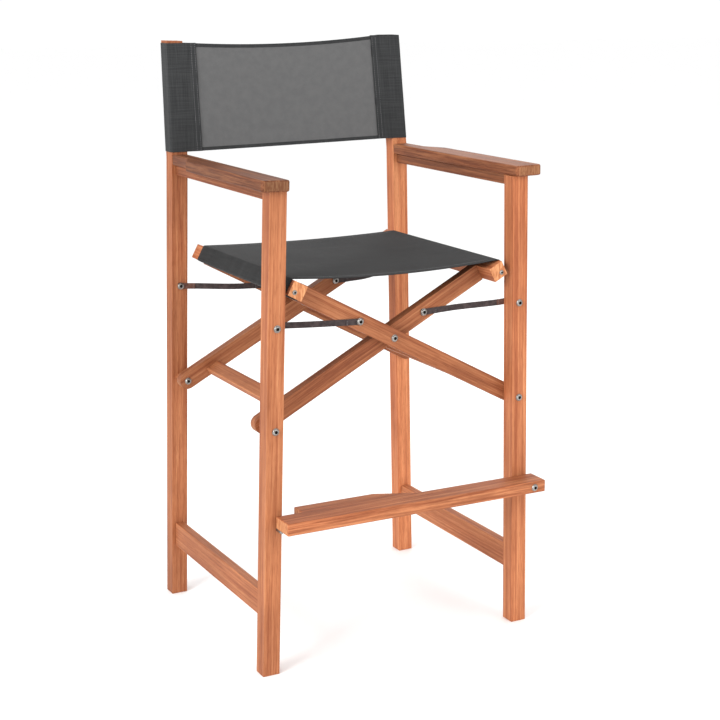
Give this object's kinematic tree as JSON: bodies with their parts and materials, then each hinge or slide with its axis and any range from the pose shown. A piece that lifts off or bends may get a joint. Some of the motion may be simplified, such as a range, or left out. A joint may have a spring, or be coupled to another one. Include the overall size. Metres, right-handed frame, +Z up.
{
  "type": "director chair",
  "caption": "Tall folding wooden director chair with a cloth seat, a mesh sling back, flat arms, webbing limit straps and a swing-up footrest plank.",
  "frame": {"origin": "on the floor, half way between the outermost points in X and in Y", "axes": "X across the seat from the left arm to the right arm as seen from the front, Y from front to back, Z up"},
  "size_m": [0.5974, 0.5922, 1.1698],
  "materials": {
    "wood": "oiled reddish-brown hardwood, open grain, satin",
    "steel": "bright plated socket-head bolts and nuts",
    "cloth": "charcoal woven canvas",
    "mesh": "grey open-weave coated mesh",
    "webbing": "dark brown woven webbing"
  },
  "bodies": {
    "left_frame": {"front_post_left": "wood", "back_post_left": "wood", "arm_left": "wood", "arm_apron_left": "wood", "side_rail_left": "wood", "back_sleeve_left": "cloth", "pivot_bolt_front_left": "steel", "pivot_nut_front_left": "steel", "pivot_bolt_back_left": "steel", "pivot_nut_back_left": "steel", "strap_bolt_front_left": "steel", "strap_nut_front_left": "steel", "strap_bolt_back_left": "steel", "back_panel": "mesh", "pivot_spacer_front": "wood", "pivot_spacer_back": "wood", "footrest_peg": "steel"},
    "inner_cross": {"cross_bar_front_from_left": "wood", "cross_bar_back_from_left": "wood", "seat_rail_right": "wood", "stretcher_from_left": "wood", "centre_bolt_front": "steel", "centre_nut_front": "steel", "centre_bolt_back": "steel", "centre_nut_back": "steel", "strap_screw_front_right": "steel", "strap_screw_back_right": "steel", "seat_cloth": "cloth", "rail_screw_front_right": "steel", "rail_screw_back_right": "steel"},
    "outer_cross": {"cross_bar_front_from_right": "wood", "cross_bar_back_from_right": "wood", "seat_rail_left": "wood", "stretcher_from_right": "wood", "strap_screw_front_left": "steel", "strap_screw_back_left": "steel", "rail_screw_front_left": "steel", "rail_screw_back_left": "steel"},
    "right_frame": {"front_post_right": "wood", "back_post_right": "wood", "arm_right": "wood", "arm_apron_right": "wood", "side_rail_right": "wood", "back_sleeve_right": "cloth", "pivot_bolt_front_right": "steel", "pivot_nut_front_right": "steel", "pivot_bolt_back_right": "steel", "pivot_nut_back_right": "steel", "strap_bolt_front_right": "steel", "strap_nut_front_right": "steel", "strap_bolt_back_right": "steel", "footrest_bolt": "steel", "footrest_nut": "steel", "footrest_spacer": "steel"},
    "footrest": {"footrest_plank": "wood"},
    "strap_front_left": {"strap_front_left": "webbing"},
    "strap_back_left": {"strap_back_left": "webbing"},
    "strap_front_right": {"strap_front_right": "webbing"},
    "strap_back_right": {"strap_back_right": "webbing"}
  },
  "joints": [
    {"name": "fold", "type": "hinge", "parent": "left_frame", "child": "inner_cross", "pos_m": [-0.26782, 0.01536, 0.48056], "axis": [0, -1, 0], "range_deg": [0, 36], "deforming": ["back_panel"]},
    {"name": "cross_pivot", "type": "hinge", "parent": "inner_cross", "child": "outer_cross", "pos_m": [0, 0.01536, 0.62296], "axis": [0, 1, 0], "range_deg": [0, 80], "deforming": ["seat_cloth"]},
    {"name": "right_pivot", "type": "hinge", "parent": "outer_cross", "child": "right_frame", "pos_m": [0.26782, 0.01536, 0.48056], "axis": [0, -1, 0], "range_deg": [0, 36]},
    {"name": "footrest_swing", "type": "hinge", "parent": "right_frame", "child": "footrest", "pos_m": [0.27235, -0.26364, 0.30762], "axis": [0, 1, 0], "range_deg": [0, 81]},
    {"name": "strap_front_left_swing", "type": "hinge", "parent": "left_frame", "child": "strap_front_left", "pos_m": [-0.26277, -0.20264, 0.6735], "axis": [0, -1, 0], "range_deg": [0, 60.96], "deforming": ["strap_front_left"]},
    {"name": "strap_back_left_swing", "type": "hinge", "parent": "left_frame", "child": "strap_back_left", "pos_m": [-0.26277, 0.23336, 0.6735], "axis": [0, -1, 0], "range_deg": [0, 60.96], "deforming": ["strap_back_left"]},
    {"name": "strap_front_right_swing", "type": "hinge", "parent": "right_frame", "child": "strap_front_right", "pos_m": [0.26277, -0.20264, 0.6735], "axis": [0, 1, 0], "range_deg": [0, 60.96], "deforming": ["strap_front_right"]},
    {"name": "strap_back_right_swing", "type": "hinge", "parent": "right_frame", "child": "strap_back_right", "pos_m": [0.26277, 0.23336, 0.6735], "axis": [0, 1, 0], "range_deg": [0, 60.96], "deforming": ["strap_back_right"]}
  ],
  "couplings": [
    {"joint": "cross_pivot", "follows": "fold", "ratio": 2.2222},
    {"joint": "right_pivot", "follows": "fold", "ratio": 1},
    {"joint": "footrest_swing", "follows": "fold", "ratio": 2.25},
    {"joint": "strap_front_left_swing", "follows": "fold", "ratio": 1.6933},
    {"joint": "strap_back_left_swing", "follows": "fold", "ratio": 1.6933},
    {"joint": "strap_front_right_swing", "follows": "fold", "ratio": 1.6933},
    {"joint": "strap_back_right_swing", "follows": "fold", "ratio": 1.6933}
  ]
}
